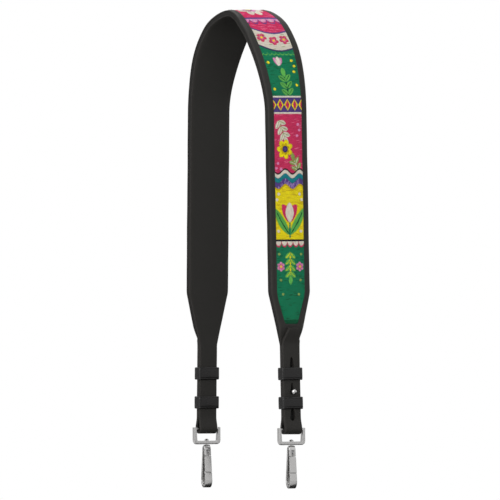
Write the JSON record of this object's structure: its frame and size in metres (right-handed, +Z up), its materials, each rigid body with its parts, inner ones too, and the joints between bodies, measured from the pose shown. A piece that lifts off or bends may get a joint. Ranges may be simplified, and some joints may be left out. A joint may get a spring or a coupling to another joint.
{
  "type": "detachable bag strap",
  "caption": "Padded leather shoulder strap with an embroidered panel, buttoned looped ends with sliding keepers, and swivelling sprung snap hooks.",
  "frame": {"origin": "on the shoulder side of the lining, in the middle of the strap's width at the crest of its arch", "axes": "+Z up, +X towards the leg whose face shows the panel at the picture's right, +Y across the strap"},
  "size_m": [0.1632, 0.051, 0.502],
  "materials": {
    "smooth_leather": "semi-matt",
    "lining_leather": "matt",
    "padding": "matt",
    "embroidery": "satin thread",
    "nickel": "polished",
    "steel": "plain"
  },
  "bodies": {
    "strap": {"lining": "lining_leather", "core": "padding", "front_border": "smooth_leather", "embroidered_panel": "embroidery", "left_stud": "nickel", "left_stud_screw": "steel", "right_stud": "nickel", "right_stud_screw": "steel"},
    "left_ring": {"left_ring": "nickel"},
    "left_hook": {"left_swivel_post": "nickel", "left_hook_body": "nickel", "left_gate_pin": "steel", "left_gate_spring": "steel"},
    "left_gate": {"left_gate": "nickel"},
    "left_upper_keeper": {"left_upper_keeper": "smooth_leather"},
    "left_lower_keeper": {"left_lower_keeper": "smooth_leather"},
    "right_ring": {"right_ring": "nickel"},
    "right_hook": {"right_swivel_post": "nickel", "right_hook_body": "nickel", "right_gate_pin": "steel", "right_gate_spring": "steel"},
    "right_gate": {"right_gate": "nickel"},
    "right_upper_keeper": {"right_upper_keeper": "smooth_leather"},
    "right_lower_keeper": {"right_lower_keeper": "smooth_leather"}
  },
  "joints": [
    {"name": "left_ring_swing", "type": "hinge", "parent": "strap", "child": "left_ring", "pos_m": [-0.07225, 0, -0.43334], "axis": [0, 1, 0], "range_deg": [-100, 100]},
    {"name": "left_hook_swivel", "type": "hinge", "parent": "left_ring", "child": "left_hook", "pos_m": [-0.07225, 0, -0.45004], "axis": [0, 0, 1], "continuous": true},
    {"name": "left_gate_opening", "type": "hinge", "parent": "left_hook", "child": "left_gate", "pos_m": [-0.06894, -0.0014, -0.45724], "axis": [0.3907, 0.9205, 0], "range_deg": [0, 20], "stiffness_Nm_per_rad": 0.02, "springref_deg": -20.05, "deforming": ["left_gate_spring"]},
    {"name": "left_upper_keeper_slide", "type": "slide", "parent": "strap", "child": "left_upper_keeper", "axis": [-0.021, 0, -0.9998], "range_m": [-0.018, 0.0085]},
    {"name": "left_lower_keeper_slide", "type": "slide", "parent": "strap", "child": "left_lower_keeper", "axis": [-0.021, 0, -0.9998], "range_m": [-0.0012, 0.007]},
    {"name": "right_ring_swing", "type": "hinge", "parent": "strap", "child": "right_ring", "pos_m": [0.07225, 0, -0.43334], "axis": [0, 1, 0], "range_deg": [-100, 100]},
    {"name": "right_hook_swivel", "type": "hinge", "parent": "right_ring", "child": "right_hook", "pos_m": [0.07225, 0, -0.45004], "axis": [0, 0, 1], "continuous": true},
    {"name": "right_gate_opening", "type": "hinge", "parent": "right_hook", "child": "right_gate", "pos_m": [0.07556, -0.0014, -0.45724], "axis": [0.3907, 0.9205, 0], "range_deg": [0, 20], "stiffness_Nm_per_rad": 0.02, "springref_deg": -20.05, "deforming": ["right_gate_spring"]},
    {"name": "right_upper_keeper_slide", "type": "slide", "parent": "strap", "child": "right_upper_keeper", "axis": [0.021, 0, -0.9998], "range_m": [-0.018, 0.0085]},
    {"name": "right_lower_keeper_slide", "type": "slide", "parent": "strap", "child": "right_lower_keeper", "axis": [0.021, 0, -0.9998], "range_m": [-0.0012, 0.007]}
  ]
}
